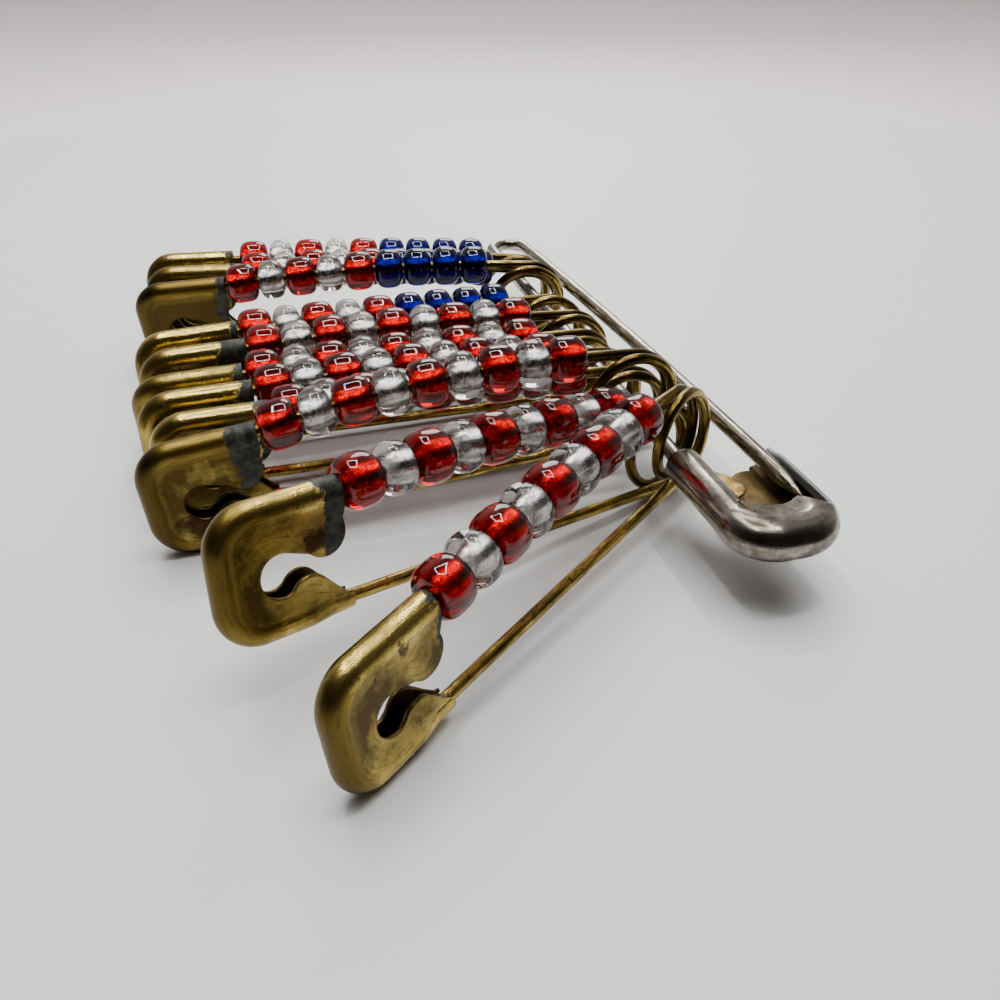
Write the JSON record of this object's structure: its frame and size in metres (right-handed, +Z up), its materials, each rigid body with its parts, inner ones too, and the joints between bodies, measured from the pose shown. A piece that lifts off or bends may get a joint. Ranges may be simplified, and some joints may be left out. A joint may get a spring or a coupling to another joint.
{
  "type": "safety pin brooch",
  "caption": "Beaded brooch: small brass safety pins strung with silver-lined glass beads hang by their coils from one large nickel safety pin.",
  "frame": {"origin": "on the surface the brooch lies on, under the middle of the whole piece", "axes": "+X along the large pin's back leg from the bend to the cap, +Y from the hanging small pins towards the large pin's arm, +Z up from the surface"},
  "size_m": [0.0457, 0.0294, 0.0081],
  "materials": {
    "nickel": "nickel plate, worn, lengthwise brush marks",
    "brass_wire": "drawn brass wire, bright with fine scratches",
    "brass_sheet": "folded brass sheet, aged, dark tarnish near the hood",
    "red_glass": "clear red glass with a crinkled silver lining",
    "clear_glass": "clear glass with a crinkled silver lining",
    "blue_glass": "clear dark blue glass with a crinkled silver lining"
  },
  "bodies": {
    "brooch": {"main_pin_leg": "nickel", "main_pin_cap": "nickel", "pin_01_wire": "brass_wire", "pin_02_wire": "brass_wire", "pin_03_wire": "brass_wire", "pin_04_wire": "brass_wire", "pin_05_wire": "brass_wire", "pin_06_wire": "brass_wire", "pin_07_wire": "brass_wire", "pin_08_wire": "brass_wire", "pin_09_wire": "brass_wire", "pin_10_wire": "brass_wire", "pin_11_wire": "brass_wire", "pin_01_cap": "brass_sheet", "pin_02_cap": "brass_sheet", "pin_03_cap": "brass_sheet", "pin_04_cap": "brass_sheet", "pin_05_cap": "brass_sheet", "pin_06_cap": "brass_sheet", "pin_07_cap": "brass_sheet", "pin_08_cap": "brass_sheet", "pin_09_cap": "brass_sheet", "pin_10_cap": "brass_sheet", "pin_11_cap": "brass_sheet", "pin_01_red_beads": "red_glass", "pin_02_red_beads": "red_glass", "pin_03_red_beads": "red_glass", "pin_04_red_beads": "red_glass", "pin_05_red_beads": "red_glass", "pin_06_red_beads": "red_glass", "pin_07_red_beads": "red_glass", "pin_08_red_beads": "red_glass", "pin_09_red_beads": "red_glass", "pin_10_red_beads": "red_glass", "pin_11_red_beads": "red_glass", "pin_01_clear_beads": "clear_glass", "pin_02_clear_beads": "clear_glass", "pin_03_clear_beads": "clear_glass", "pin_04_clear_beads": "clear_glass", "pin_05_clear_beads": "clear_glass", "pin_06_clear_beads": "clear_glass", "pin_07_clear_beads": "clear_glass", "pin_08_clear_beads": "clear_glass", "pin_09_clear_beads": "clear_glass", "pin_10_clear_beads": "clear_glass", "pin_11_clear_beads": "clear_glass", "pin_01_blue_beads": "blue_glass", "pin_02_blue_beads": "blue_glass", "pin_03_blue_beads": "blue_glass", "pin_04_blue_beads": "blue_glass"},
    "arm": {"main_pin_arm": "nickel"}
  },
  "joints": [
    {"name": "arm_lift", "type": "hinge", "parent": "brooch", "child": "arm", "pos_m": [-0.02243, 0.0113, 0.00345], "axis": [0, -1, 0], "range_deg": [0, 30]}
  ]
}
